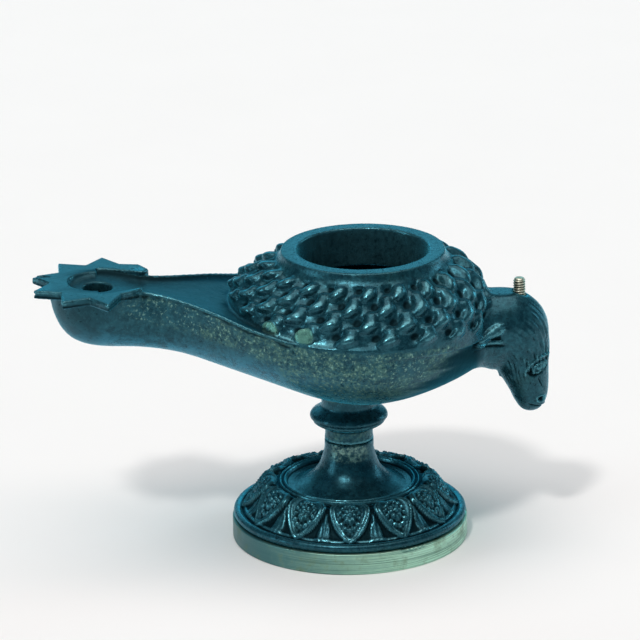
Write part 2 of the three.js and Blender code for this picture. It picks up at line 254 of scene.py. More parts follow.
def polygon(r, z, corners):
    """Distance from a closed outline, less than nothing inside it."""
    nearest = np.full(np.broadcast(r, z).shape, 1e9)
    sign = np.ones(nearest.shape)
    for (ax, az), (bx, bz) in zip(corners, corners[1:] + corners[:1]):
        ex, ez = bx - ax, bz - az
        wx, wz = r - ax, z - az
        t = np.clip((wx * ex + wz * ez) / (ex * ex + ez * ez), 0, 1)
        nearest = np.minimum(nearest, (wx - ex * t) ** 2 + (wz - ez * t) ** 2)
        above, below, left = z >= az, z < bz, ex * wz > ez * wx
        crossed = (above & below & left) | (~above & ~below & ~left)
        sign = np.where(crossed, -sign, sign)
    return sign * np.sqrt(nearest)


def capsule(x, y, z, start, end, r0, r1):
    """A rod with round ends that tapers from r0 to r1."""
    start, end = np.array(start, float), np.array(end, float)
    axis = end - start
    px, py, pz = x - start[0], y - start[1], z - start[2]
    t = np.clip((px * axis[0] + py * axis[1] + pz * axis[2]) / (axis @ axis), 0, 1)
    away = np.sqrt((px - axis[0] * t) ** 2 + (py - axis[1] * t) ** 2 + (pz - axis[2] * t) ** 2)
    return away - mix(r0, r1, t)


class Grid:
    """A block of sample points, or a part of it between two corners."""

    def __init__(self, low=LOW, high=HIGH):
        count = np.ceil((HIGH - LOW) / STEP).astype(int) + 1
        first = np.maximum(np.floor((np.array(low) - LOW) / STEP).astype(int), 0)
        last = np.minimum(np.ceil((np.array(high) - LOW) / STEP).astype(int) + 1, count)
        self.part = tuple(slice(a, b) for a, b in zip(first, last))
        axes = [(LOW[i] + STEP * np.arange(first[i], last[i])).astype(np.float32) for i in range(3)]
        self.x = axes[0][:, None, None]
        self.y = axes[1][None, :, None]
        self.z = axes[2][None, None, :]


# Body: hull

width_at = through(HULL_WIDTH)
border_at = through(HULL_BORDER)
keel_at = through(HULL_KEEL)
STAR_TOP = float(border_at(STAR_X)) + STAR_PROUD


def boat(g, inset, deck, first, last):
    """A boat-shaped form under a deck, shrunk by inset all round."""
    p = SECTION_POWER
    half = np.maximum(width_at(g.x) - inset, 0.3)
    depth = np.maximum(deck - keel_at(g.x) - inset, 0.3)
    down = np.maximum((deck - g.z) / depth, 0)
    within = np.clip(down, 0, 0.999) ** p
    bulge = 2 * WAIST_BULGE * np.exp(-(((g.x - WAIST_X) / WAIST_SPAN) ** 2))
    half = half + bulge * np.sqrt(within) * (1 - within) ** (0.5 - 1 / p)
    across = np.abs(g.y) / half
    size = np.minimum(half, depth)
    field = (((across**p + down**p) ** (1 / p)) - 1) * size
    field = np.maximum(evened(field.astype(np.float32)), np.maximum(first - g.x, g.x - last))
    return both(field, g.z - deck, 0.5)


# Body: shoulder

def around(c, at_head, at_side, at_nozzle):
    """A value that goes round from the head's side over the flank to the nozzle's side; c is a cosine."""
    return at_side + np.where(c > 0, at_head - at_side, at_nozzle - at_side) * c * c


DOME_LOW = (
    float(border_at(DOME_X + DOME_HEAD_RADIUS)) + DOME_HEAD_RISE,
    float(border_at(DOME_X)),
    float(border_at(DOME_X - DOME_NOZZLE_RADIUS)),
)


def shoulder_place(x, y, z):
    """Azimuth, how far down the shoulder, and the height above it, of each point."""
    down = np.full(np.broadcast(x, y, z).shape, 0.3, np.float32)
    for _ in range(3):
        away = x - mix(RIM_X, DOME_X, np.clip(down, 0, 1))
        r = np.sqrt(away**2 + y**2) + 1e-6
        c = away / r
        outer = around(c, DOME_HEAD_RADIUS, DOME_SIDE_RADIUS, DOME_NOZZLE_RADIUS)
        low = around(c, *DOME_LOW)
        full = around(c, *DOME_FULLNESS)
        for _ in range(3):
            left = np.maximum(1 - down, 1e-4)
            radius = SHOULDER_RADIUS + (outer - SHOULDER_RADIUS) * (1 - left**full)
            level = SHOULDER_TOP + (low - SHOULDER_TOP) * down
            slope = (outer - SHOULDER_RADIUS) * full * left ** (full - 1) + SHOULDER_TOP - low
            down = np.clip(down + ((r - z) - (radius - level)) / slope, 0, 1.2)
    height = ((r - radius) + (z - level)) / math.sqrt(2)
    return np.arctan2(y, away), down, height, low, outer, r


def bosses(azimuth, down):
    """Share of the two flat round bosses at the shoulder's border."""
    away = [np.hypot((azimuth - turn) * BOSS_OUT, (down - low) * BOSS_FALL) for turn, low in BOSSES]
    return smooth(BOSS_RADIUS - np.minimum(*away), -0.35, 0.35)


def scales(azimuth, down):
    """Height of the overlapping scales: leaning ridges with fat rounded tips, and a hollow beside each."""
    pitch = 1 / (SCALE_ROWS + 0.2)
    turns = azimuth / (2 * math.pi) * SCALES_IN_ROW - SCALE_TURN
    relief = np.zeros(down.shape, np.float32)
    pits = np.zeros(down.shape, np.float32)
    for row in range(SCALE_ROWS):
        up = ((row + 1) * pitch - down) / pitch
        u = turns + row / 2 - 0.17 * np.clip(up, 0, 1.4) - 0.08 * np.sin(math.pi / 1.2 * np.clip(up, 0, 1.2))
        beside = u + 0.37
        u = u - np.round(u)
        beside = beside - np.round(beside)
        swell = np.sqrt(np.clip(1 - np.clip((0.45 - up) / 0.55, 0, 1) ** 2, 0, 1))
        half = swell * mix(0.28, 0.2, smooth(up, 0.3, 1.0)) + 1e-4
        v = np.clip(u / half, -1, 1)
        crown = (1 - v * v) ** 0.7 * (1 + 0.12 * v)
        along = mix(1.0, 0.7, smooth(up, 0.35, 1.0)) * (1 - smooth(up, 1.1, 1.6))
        relief = np.maximum(relief, SCALE_RISE * crown * along * swell * (up > -0.1))
        pits += SCALE_HOLLOW * hump(beside, 0, 0.18) * hump(up, 0.75, 0.38)
    relief = relief - pits * (1 - smooth(relief, 0.2, 1.4))
    return mix(relief, 1.2, bosses(azimuth, down))


def shoulder(g, inset=0.0, carved=False):
    azimuth, down, height, low, outer, r = shoulder_place(g.x, g.y, g.z)
    if carved:
        fade = smooth(down, 0.0, 0.06) * (1 - smooth(down, 1.04, 1.14))
        height = height - scales(azimuth, down) * fade
        floor = low - 2.5
    else:
        height = height + inset * math.sqrt(2)
        floor = mix(DOME_LOW[0] - 3, low - inset, np.clip(r / outer, 0, 1))
    field = evened(height.astype(np.float32))
    return np.maximum(field, np.maximum(g.z - SHOULDER_TOP, floor - g.z))


def rim(g):
    r = np.sqrt((g.x - RIM_X) ** 2 + g.y**2)
    fall = np.clip((RIM_TOP - g.z) / RIM_HEIGHT, 0, 1)
    side = (r - mix(RIM_RADIUS, SHOULDER_RADIUS + 0.2, fall**1.7)) * 0.93
    return both(np.maximum(side, SHOULDER_TOP - 2 - g.z), g.z - RIM_TOP, 0.45)


# Body: nozzle

def star_corners():
    step = math.pi / STAR_TIPS
    last = 2 * STAR_TIPS
    corners = []
    for i in range(last):
        radius = STAR_TIP_RADIUS if i % 2 == 0 else STAR_VALLEY_RADIUS
        if i == 2:
            radius = SHORT_TIP_RADIUS
        if abs(i - (last - 4)) < 2:
            radius = LOST_TIP_RADIUS
        if i == 0 or i > last - 3:
            radius = NOZZLE_SIDE_RADIUS
        angle = step * (i + 1)
        corners.append((radius * math.cos(angle), radius * math.sin(angle)))
    return corners


def star(g):
    """The star plate. One tip has a groove along its edge, and the tip beside it has one on its top."""
    plan = polygon(g.x - STAR_X, g.y, star_corners())
    middle = STAR_TOP - STAR_THICKNESS / 2
    turn = np.arctan2(g.y, g.x - STAR_X)
    edge_groove = 0.45 * hump(g.z, middle, 0.35) * hump(turn, GROOVED_EDGE_TURN, 0.22)
    plate = both(plan + edge_groove, np.abs(g.z - middle) - STAR_THICKNESS / 2, 0.45)
    along, across = math.cos(GROOVED_TIP_TURN), math.sin(GROOVED_TIP_TURN)
    places = [(STAR_X + r * along, r * across, STAR_TOP + 0.35) for r in (18.5, 25)]
    return cut(plate, capsule(g.x, g.y, g.z, *places, 0.6, 1.1), 0.3)


def channel(g):
    """The open channel with its dish round the wick hole. It grows shallow under the shoulder."""
    dish = np.sqrt(np.clip(1 - ((g.x - WICK_X) / DISH_RADIUS) ** 2, 0, 1)) * DISH_RADIUS
    side = width_at(g.x) - CHANNEL_BORDER
    half = np.maximum(np.minimum(np.where(g.x > WICK_X, np.maximum(dish, side), dish), side), 0.3)
    deck = np.minimum(border_at(g.x), STAR_TOP)
    depth = CHANNEL_DEPTH * (1 - smooth(g.x, CHANNEL_FADE, CHANNEL_END + 0.5)) + 0.03
    away = np.where(g.z < deck, (deck - g.z) / depth, (g.z - deck) / 3)
    field = (np.sqrt((g.y / half) ** 2 + away**2) - 1) * np.minimum(half, 2 * depth)
    ends = np.maximum(WICK_X - DISH_RADIUS - g.x, g.x - CHANNEL_END)
    lines = 0.07 * np.sin(g.y * 5.2 + np.sin(g.x * 0.21)) * smooth(g.x, -66, -58)
    return np.maximum(evened((field + lines * hump(away, 1, 0.5)).astype(np.float32)), ends)


# Body: head

def along_head(values):
    """A smooth function of the share of the way from the neck to the muzzle's end."""
    last = len(values) - 1
    return through([(i / last, value) for i, value in enumerate(values)])


head_x = along_head([x for x, z in HEAD_LINE])
head_z = along_head([z for x, z in HEAD_LINE])
head_depth = along_head(HEAD_DEPTH)
head_width = along_head(HEAD_WIDTH)


def head_way(t):
    """Place and direction of the head's middle line, in side view."""
    return head_x(t), head_z(t), head_x(t + 0.01) - head_x(t - 0.01), head_z(t + 0.01) - head_z(t - 0.01)


def head(g):
    """The neck and head without relief: ovals along the middle line, evened out and cut flat at the crown."""
    shape = np.broadcast(g.x, g.y, g.z).shape
    best = np.full(shape, 9.0, np.float32)
    for t in np.linspace(0, 1, 90):
        cx, cz, tx, tz = head_way(t)
        length = math.hypot(tx, tz)
        tx, tz = tx / length, tz / length
        thick = 2.6 if t < 0.93 else mix(2.6, 1.7, (t - 0.93) / 0.07)
        out = (g.x - cx) * -tz + (g.z - cz) * tx
        ahead = (g.x - cx) * tx + (g.z - cz) * tz
        depth, width = float(head_depth(t)), float(head_width(t))
        size = np.sqrt((out / depth) ** 2 + (g.y / width) ** 2 + (ahead / thick) ** 2)
        best = np.minimum(best, size)
    field = evened(((best - 1) * 8).astype(np.float32))
    for _ in range(8):
        for axis in range(3):
            middle = [slice(None)] * 3
            before, after = list(middle), list(middle)
            middle[axis], before[axis], after[axis] = slice(1, -1), slice(0, -2), slice(2, None)
            middle, before, after = tuple(middle), tuple(before), tuple(after)
            field[middle] = (field[before] + 2 * field[middle] + field[after]) / 4
    field -= 0.12

    field = both(field, g.z - CROWN_LEVEL, 0.6)

    cleft = capsule(g.x, np.abs(g.y), g.z, (44.8, 8.6, 48.5), (44.4, 12.0, 42.5), 0.7, 0.9)
    return cut(field, cleft, 0.8)


def away_from(x, z, start, end):
    """Distance in side view from a line, and how far along it, from 0 to 1."""
    dx, dz = end[0] - start[0], end[1] - start[1]
    t = np.clip(((x - start[0]) * dx + (z - start[1]) * dz) / (dx * dx + dz * dz), 0, 1)
    return np.hypot(x - start[0] - dx * t, z - start[1] - dz * t), t


def hair_relief(along, side, round_it):
    strand = round_it * 4.6 + 1.6 * np.sin(along * 17) + 0.8 * np.sin(round_it * 1.7)
    length = 0.55 + 0.45 * np.sin(along * 42 + 2.2 * np.floor(strand / (2 * math.pi)))
    hair = smooth(along, 0.22, 0.36) * (1 - smooth(along, 0.56, 0.66)) * smooth(side, 2.5, 4.5)
    return 0.26 * hair * np.sin(strand) * length


def eye_relief(x, z, side):
    """The eyes with their lids and brows, and the lines that run down from them."""
    dx, dz = x - EYE_PLACE[0], z - EYE_PLACE[1]
    a = dx * math.cos(EYE_TURN) + dz * math.sin(EYE_TURN)
    b = dz * math.cos(EYE_TURN) - dx * math.sin(EYE_TURN)
    almond = np.hypot(a / 2.3, b / 1.2)
    relief = 0.55 * hump(almond, 1.1, 0.17) - 0.5 * hump(almond, 1.6, 0.28)
    relief += 0.5 * np.sqrt(np.clip(1 - (np.hypot(a / 1.2, b) / 0.85) ** 2, 0, 1))
    for reach in (2.7, 3.7):
        relief += 0.4 * hump(np.hypot(a / 1.5, b + 0.6), reach, 0.3) * smooth(b, 0.2, 1.0)
    relief -= 0.4 * hump(b + 0.35 * a, -0.6, 0.3) * smooth(-a, 1.8, 2.4) * (1 - smooth(-a, 4.5, 6.0))
    cheek = 0.35 * hump(x + 0.45 * z, 70.6, 0.3) * hump(z, 18.5, 3) * smooth(side, 2.5, 4)
    return relief * smooth(side, 3.0, 4.5) - cheek


def muzzle_relief(x, z, side):
    """The nostrils and the lips."""
    swirl = np.hypot(x - NOSTRIL_PLACE[0], (z - NOSTRIL_PLACE[1]) * 1.15)
    nostril = smooth(side, 1.2, 2.4) * (0.35 * hump(swirl, 1.35, 0.35) - 0.6 * hump(swirl, 0.2, 0.6))
    lips = z - LIPS_PLACE[1] - 0.3 * (LIPS_PLACE[0] - x)
    return nostril + (0.2 * hump(lips, 0.9, 0.4) - 0.5 * hump(lips, 0, 0.32)) * smooth(x, 57.5, 59.5)


def ear_relief(x, z, side):
    """The ears, folded back along the neck, with the folds under them."""
    away, t = away_from(x, z, EAR_ROOT, EAR_TIP)
    flap = 1.5 * np.sqrt(np.clip(1 - (away / mix(2.0, 1.1, t)) ** 2, 0, 1))
    slot, _ = away_from(x, z, (48.2, 36.2), (39.0, 37.4))
    strip, _ = away_from(x, z, (49.0, 34.8), (39.0, 36.0))
    under, _ = away_from(x, z, (49.4, 33.5), (40.0, 34.7))
    ear = flap - 0.7 * hump(slot, 0, 0.5) + 0.5 * hump(strip, 0, 0.45) - 0.5 * hump(under, 0, 0.45)
    return ear * smooth(side, 5, 8)


def head_relief(x, y, z):
    """Height of the hair, eyes, nostrils, lips and ears."""
    nearest = np.full(len(x), 1e9)
    along = np.zeros(len(x))
    ahead = np.zeros(len(x))
    for t in np.linspace(0, 1, 160):
        cx, cz, tx, tz = head_way(t)
        away = (x - cx) ** 2 + (z - cz) ** 2
        out = ((x - cx) * -tz + (z - cz) * tx) / math.hypot(tx, tz)
        along = np.where(away < nearest, t, along)
        ahead = np.where(away < nearest, out, ahead)
        nearest = np.minimum(nearest, away)
    side = np.abs(y)
    face = hair_relief(along, side, np.arctan2(side, ahead + 2) * 9)
    face += eye_relief(x, z, side) + muzzle_relief(x, z, side)
    relief = 1.3 * face * smooth(x, 50, 52.5) + ear_relief(x, z, side)
    return relief * (1 - smooth(z, CROWN_LEVEL - 1.4, CROWN_LEVEL - 0.3))


def knop(g):
    r = np.sqrt(g.x**2 + g.y**2)
    return polygon(r, g.z, KNOP_PROFILE) - 0.05


def body_field():
    """Distance from the body's surface, less than nothing inside the metal."""
    whole = Grid()
    deck = np.minimum(border_at(whole.x), STAR_TOP)
    field = boat(whole, 0.0, deck, HULL_WIDTH[0][0], HULL_WIDTH[-1][0])

    def join(low, high, form, reach):
        g = Grid(low, high)
        field[g.part] = melt(field[g.part], form(g), reach)

    join((-105, -28, 50), (-50, 28, 60), star, 0.5)
    g = Grid((-96, -44, 44), (-26, 44, 60))
    field[g.part] = cut(field[g.part], channel(g), 0.35)
    join((32, -24, 2), (68, 24, 56), head, 2.4)
    join((-44, -46, 32), (56, 46, 62), lambda g: shoulder(g, carved=True), 1.8)
    join((-30, -36, 56), (42, 36, 68), rim, 0.7)
    join((-17, -17, -2), (17, 17, 22), knop, 0.8)

    # The hollow, with its two mouths
    duct = 1.1 + CHANNEL_DEPTH + WALL
    roof = border_at(whole.x) - duct * smooth(-whole.x, 25, 42)
    hollow = boat(whole, WALL, roof, WICK_X - 10.5, 38.5)
    g = Grid((-44, -46, 32), (56, 46, 62))
    vault = np.maximum(shoulder(g, inset=WALL * 0.85), g.z - RIM_TOP + NECK_DEPTH)
    hollow[g.part] = melt(hollow[g.part], vault, 0.6)
    for g, x, radius, bottom in (
        (Grid((-24, -30, 50), (36, 30, 68)), RIM_X, MOUTH_RADIUS, RIM_TOP - MOUTH_DEPTH),
        (Grid((-90, -10, 38), (-72, 10, 60)), WICK_X, WICK_RADIUS, float(keel_at(WICK_X)) + WALL + 4),
    ):
        bore = np.maximum(np.sqrt((g.x - x) ** 2 + g.y**2) - radius, bottom - g.z)
        hollow[g.part] = melt(hollow[g.part], bore, 0.5)
    field = cut(field, hollow, 0.45)

    g = Grid((50, -6, 42), (62, 6, 52))
    hole = np.sqrt((g.x - STUD_X) ** 2 + g.y**2) - STUD_RADIUS - STUD_GAP
    hole = np.maximum(hole, CROWN_LEVEL - STUD_SUNK - STUD_GAP - g.z)
    field[g.part] = cut(field[g.part], hole, 0.2)
    return field.astype(np.float32)


# Meshes from fields

def sample(volume, at):
    """Values of a volume at places between its sample points, given in steps."""
    i = np.clip(np.floor(at).astype(int), 0, np.array(volume.shape) - 2)
    t = at - i
    total = np.zeros(len(at))
    for corner in range(8):
        offset = np.array([corner & 1, corner >> 1 & 1, corner >> 2 & 1])
        weight = np.prod(np.where(offset == 1, t, 1 - t), axis=1)
        total += weight * volume[tuple((i + offset).T)]
    return total


def surface(field):
    """Corners and faces of the surface where the field is nothing, with a corner in each crossed cell."""
    inside = field < 0
    nx, ny, nz = field.shape
    count = np.zeros((nx - 1, ny - 1, nz - 1), np.int8)
    for i in (0, 1):
        for j in (0, 1):
            for k in (0, 1):
                count += inside[i : nx - 1 + i, j : ny - 1 + j, k : nz - 1 + k]
    active = (count > 0) & (count < 8)
    cells = np.argwhere(active)
    number = np.full(active.shape, -1, np.int32)
    number[active] = np.arange(len(cells))

    total = np.zeros((len(cells), 3))
    crossings = np.zeros(len(cells))
    for axis in range(3):
        others = [a for a in range(3) if a != axis]
        for i in (0, 1):
            for j in (0, 1):
                start = cells.copy()
                start[:, others[0]] += i
                start[:, others[1]] += j
                end = start.copy()
                end[:, axis] += 1
                fa, fb = field[tuple(start.T)], field[tuple(end.T)]
                crossed = (fa < 0) != (fb < 0)
                place = start[crossed].astype(float)
                place[:, axis] += fa[crossed] / (fa[crossed] - fb[crossed])
                total[crossed] += place
                crossings[crossed] += 1
    corners = total / crossings[:, None]

    faces = []
    for axis in range(3):
        u, v = (axis + 1) % 3, (axis + 2) % 3
        low = np.take(inside, range(0, field.shape[axis] - 1), axis)
        high = np.take(inside, range(1, field.shape[axis]), axis)
        at = np.argwhere(low != high)
        at = at[(at[:, u] > 0) & (at[:, v] > 0)]
        leaving = low[tuple(at.T)]
        loop = []
        for du, dv in ((0, 0), (-1, 0), (-1, -1), (0, -1)):
            cell = at.copy()
            cell[:, u] += du
            cell[:, v] += dv
            loop.append(number[tuple(cell.T)])
        loop = np.stack(loop, 1)
        faces.append(np.where(leaving[:, None], loop, loop[:, ::-1]))
    faces = np.concatenate(faces)

    slopes = np.gradient(field)
    for _ in range(2):
        value = sample(field, corners)
        slope = np.stack([sample(s, corners) for s in slopes], 1)
        push = value[:, None] * slope / np.maximum((slope**2).sum(1), 1e-3)[:, None]
        corners = corners - np.clip(push, -0.6, 0.6)
    return corners, faces


def add_mesh(name, corners, faces, smooth_faces=True):
    """A piece from corners in millimetres and blocks of faces, each block with its own number of sides."""
    mesh = bpy.data.meshes.new(name)
    sizes = np.concatenate([np.full(len(block), block.shape[1]) for block in faces])
    loops = np.concatenate([block.ravel() for block in faces])
    mesh.vertices.add(len(corners))
    mesh.vertices.foreach_set("co", (np.asarray(corners, float) * MM).ravel())
    mesh.loops.add(len(loops))
    mesh.loops.foreach_set("vertex_index", loops.astype(np.int32))
    mesh.polygons.add(len(sizes))
    starts = np.concatenate([[0], np.cumsum(sizes)[:-1]])
    mesh.polygons.foreach_set("loop_start", starts.astype(np.int32))
    mesh.polygons.foreach_set("use_smooth", np.full(len(sizes), smooth_faces))
    mesh.update(calc_edges=True)
    mesh.validate()
    piece = bpy.data.objects.new(name, mesh)
    bpy.context.scene.collection.objects.link(piece)
    return piece


def lighten(piece, faces):
    """Brings a piece down to a number of faces, where it is flat first."""
    count = sum(len(p.vertices) - 2 for p in piece.data.polygons)
    if count <= faces:
        return
    modifier = piece.modifiers.new("lighten", "DECIMATE")
    modifier.ratio = faces / count
    graph = bpy.context.evaluated_depsgraph_get()
    mesh = bpy.data.meshes.new_from_object(piece.evaluated_get(graph))
    piece.modifiers.clear()
    old = piece.data
    piece.data = mesh
    mesh.name = old.name
    bpy.data.meshes.remove(old)
    mesh.polygons.foreach_set("use_smooth", np.ones(len(mesh.polygons), bool))


def places_of(piece):
    places = np.empty(len(piece.data.vertices) * 3, np.float32)
    piece.data.vertices.foreach_get("co", places)
    return places.reshape(-1, 3) / MM


def directions_of(piece):
    directions = np.empty(len(piece.data.vertices) * 3, np.float32)
    piece.data.vertex_normals.foreach_get("vector", directions)
    return directions.reshape(-1, 3)


def mark(piece, name, values):
    attribute = piece.data.attributes.new(name, "FLOAT", "POINT")
    attribute.data.foreach_set("value", np.asarray(values, np.float32))


def carve_head(piece):
    """Splits the faces of the head, lifts them by its fine relief and gives the lift of each point."""
    shape = bmesh.new()
    shape.from_mesh(piece.data)
    low = (BODY_BOTTOM + 2) * MM
    for start, top in ((FINE_HEAD_START, CROWN_LEVEL - 0.2), (FINE_FACE_START, FINE_FACE_TOP)):
        least_x, high = start * MM, (BODY_BOTTOM + top) * MM
        edges = [e for e in shape.edges
                 if all(v.co.x > least_x and low < v.co.z < high and (v.co.x > 0.05 or v.normal.z < 0.9)
                        for v in e.verts)]
        bmesh.ops.subdivide_edges(shape, edges=edges, cuts=1, use_grid_fill=True)
        bmesh.ops.triangulate(shape, faces=[f for f in shape.faces if len(f.verts) > 4])
    shape.to_mesh(piece.data)
    shape.free()
    at = places_of(piece)
    relief = head_relief(at[:, 0], at[:, 1], at[:, 2] - BODY_BOTTOM)
    out = directions_of(piece)
    relief = relief * (out[:, 1] * at[:, 1] > -0.2)
    at = at + out * relief[:, None]
    piece.data.vertices.foreach_set("co", (at * MM).astype(np.float32).ravel())
    piece.data.update()
    return relief


def hull_share(x, y, z, out):
    """1 on the outer face of the hull and nozzle, 0 elsewhere on the body."""
    below = smooth(np.minimum(border_at(x), STAR_TOP) - z, 0.2, 1.6)
    outer = np.hypot(y, (z - border_at(x)) * 1.2) - 0.8 * width_at(x)
    hull = below * (1 - smooth(x, 38, 46)) * smooth(z, 12, 20) * (out[:, 2] < 0.5) * (out[:, 1] * y > 0)
    return hull * smooth(outer, -4.5, -3.0)


def wear_body(piece, field, fine):
    """Marks brass, wear, polish, grime with painted shade, painted light on the mouth's wall and a painted
    reflection under the hull; fine is the lift of the head's relief.
    """
    at = places_of(piece) - (0, 0, BODY_BOTTOM)
    out = directions_of(piece)
    x, y, z = at.T
    hull = hull_share(x, y, z, out)
    fall = border_at(x) - z
    slant = x - 1.1 * (z - 30) + 3 * np.sin(0.9 * z + 1) + 2 * np.sin(2.3 * z + 0.4 * x)
    turn, down, height, _, _, _ = shoulder_place(x, y, z)
    outside = (height > -1.9) * (height < 2.6) * (out[:, 2] > -0.3)
    relief = scales(turn, down) * (outside * smooth(down, 0.0, 0.06) * (1 - smooth(down, 1.0, 1.1)))
    mouth = np.hypot(x - RIM_X, y) < MOUTH_RADIUS + 0.6
    mouth = mouth & (z > RIM_TOP - NECK_DEPTH - 0.4) & (out[:, 2] < 0.6)

    upper = mix(1 - smooth(fall, 6, 13), 1, smooth(x, -34, -14))
    olive = hull * (1 - 0.6 * smooth(slant, 10, 34)) * smooth(x, -80, -66) * upper
    mark(piece, "olive", np.maximum(olive, 0.5 * hump(z, 2.6, 2.6) * (np.hypot(x, y) < 13)))

    within = -sample(field, (at - out * 1.0 - LOW) / STEP)
    mark(piece, "edge", np.max([
        np.clip((0.93 - within) / 0.5, 0, 1) * (1 - hull),
        0.9 * smooth(relief, 1.2, 1.9),
        0.8 * smooth(fine, 0.1, 0.4),
        # Painted light: the mouth's inner wall is paled like worn metal, as if lit.
        0.55 * mouth,
    ], axis=0))

    open_near = sample(field, (at + out * 1.2 - LOW) / STEP) / 1.2
    open_far = sample(field, (at + out * 3.2 - LOW) / STEP) / 3.2
    deck = (x < -26) * (out[:, 2] > 0.3) * (fall < 3) * (fall > -1)
    inside = (np.abs(y) < width_at(x) - 1.2) * (x > WICK_X - DISH_RADIUS)
    bank = smooth(np.abs(y) / np.maximum(width_at(x) - CHANNEL_BORDER, 1), 0.72, 0.92)
    # Painted shade, with some real grime in the hollows: darker where the surface is closed in, in the
    # scales' hollows and the head's dents, along the hull's right flank, under the border's lip, at the
    # nozzle's end of the hull and over the deck, deepest along the channel's banks.
    shade = np.max([
        np.clip(1 - mix(open_near, open_far, 0.6), 0, 1),
        smooth(-relief, 0.1, 1.4),
        smooth(-fine, 0.08, 0.45),
        0.8 * hull * smooth(slant, 4, 34),
        0.75 * hump(fall, 1.4, 0.7) * (np.abs(y) > width_at(x) - 1.5) * (x < -22),
        0.45 * hull * (1 - smooth(x, -84, -72)),
        deck * (0.36 + inside * (0.14 + 0.22 * bank)),
    ], axis=0)
    # Painted light: the mouth's wall keeps only a fifth of the painted shade.
    mark(piece, "hollow", np.where(mouth, 0.2 * shade, shade))
    mark(piece, "boss", outside * bosses(turn, down))
    # Painted reflection: pale cyan on the hull's downward faces on the nozzle's half, where they face the
    # floor.
    mark(piece, "painted_underglow", hull * smooth(-out[:, 2], 0.2, 0.75) * (1 - smooth(x, -16, 14)))


def lamp_body():
    field = body_field()
    corners, faces = surface(field)
    corners = corners * STEP + LOW + (0, 0, BODY_BOTTOM)
    piece = add_mesh("lamp_body_casting", corners, [faces])
    lighten(piece, BODY_FACES)
    wear_body(piece, field, carve_head(piece))
    return piece


# Foot and base plate

def round_mesh(name, ring_points, sides, relief=None):
    """A closed turned piece from points (radius, level) that start and end on the axis."""
    points = np.array(ring_points, float)
    turn = np.linspace(0, 2 * math.pi, sides, endpoint=False)
    radius = np.repeat(points[1:-1, :1], sides, 1)
    level = np.repeat(points[1:-1, 1:], sides, 1)
    if relief is not None:
        radius, level = relief(turn[None, :], radius, level)
    x, y = radius * np.cos(turn), radius * np.sin(turn)
    corners = np.stack([x, y, level], 2).reshape(-1, 3)
    ends = np.array([[0, 0, points[0, 1]], [0, 0, points[-1, 1]]])
    rows = len(points) - 2
    i, j = np.meshgrid(np.arange(rows - 1), np.arange(sides), indexing="ij")
    k = (j + 1) % sides
    sheet = np.stack([i * sides + j, (i + 1) * sides + j, (i + 1) * sides + k, i * sides + k], 2)
    a = np.arange(sides)
    b = (a + 1) % sides
    base = (rows - 1) * sides
    around_top = np.stack([np.full(sides, len(corners)), a, b], 1)
    around_bottom = np.stack([np.full(sides, len(corners) + 1), base + b, base + a], 1)
    faces = [sheet.reshape(-1, 4), around_top, around_bottom]
    return add_mesh(name, np.concatenate([corners, ends]), faces)


band_swell = through([(0, 0), (0.14, -0.06), (0.36, 0.12), (0.56, 0.46), (0.72, 0.78), (0.84, 0.93), (1, 1)])


def band_point(out):
    radius = mix(RING_RADIUS + RING_WIDTH, FOOT_RADIUS - BEAD_DEPTH - 0.7, out)
    top = RING_HEIGHT - 0.6
    return radius, FOOT_BOTTOM + top - (top - BEAD_HEIGHT) * band_swell(out)


def leaves(azimuth, out):
    """Height of pointed leaves round a beaded oval rosette, with a ribbed dart between each two."""
    turns = (azimuth + math.pi / 2 + LEAF_TURN) / (2 * math.pi) * LEAF_COUNT
    side = 2 * (turns - np.round(turns))
    across = np.abs(side)
    frame = 0.90 * np.sin(math.pi * np.clip(out, 0.015, 0.97) ** 0.62)
    inside = frame - across
    leaf = smooth(inside, -0.03, 0.04)
    relief = 1.3 * leaf + 0.8 * hump(inside, 0.05, 0.045) * leaf
    relief += 0.40 * hump(inside, 0.19, 0.04) * leaf - 0.25 * hump(inside, 0.125, 0.035) * leaf
    relief -= 0.45 * smooth(inside, 0.25, 0.36)

    oval = np.hypot(side / 0.46, (out - 0.44) / 0.27)
    angle = np.arctan2((out - 0.44) / 0.27, side / 0.46)
    rosette = 0.95 * np.sqrt(np.clip(1 - (oval / 0.62) ** 2, 0, 1))
    petals = 0.3 * np.cos(8 * angle) * hump(oval, 0.46, 0.16)
    centre = 0.45 * hump(oval, 0, 0.16) - 0.4 * hump(oval, 0.24, 0.07)
    bead_turn = angle * 7 / math.pi % 1 - 0.5
    beads = 0.8 * np.sqrt(np.clip(1 - bead_turn**2 * 5 - ((oval - 0.9) / 0.16) ** 2, 0, 1))
    relief += rosette + petals * (oval < 0.7) + centre + beads

    dart = smooth(across, 0.66, 0.82) * (1 - leaf) * smooth(out, 0.28, 0.4) * (1 - smooth(out, 0.93, 1))
    taper = smooth(across - (1 - 0.36 * smooth(out, 0.3, 0.95)), -0.03, 0.03)
    rib = 0.5 * hump(across, 1, 0.04) + 0.25 * hump(across, 0.84, 0.04)
    relief += dart * taper * (0.55 + rib)
    relief -= 1.5 * hump(across, 1, 0.2) * hump(out, 0.13, 0.09)
    hatch = 0.14 * np.sin(azimuth * 200 + 14 * out) * (1 - leaf) * smooth(out, 0.2, 0.35) * (1 - dart * taper)
    relief += hatch
    return relief * np.sin(math.pi * np.clip(out, 0, 1)) ** 0.4


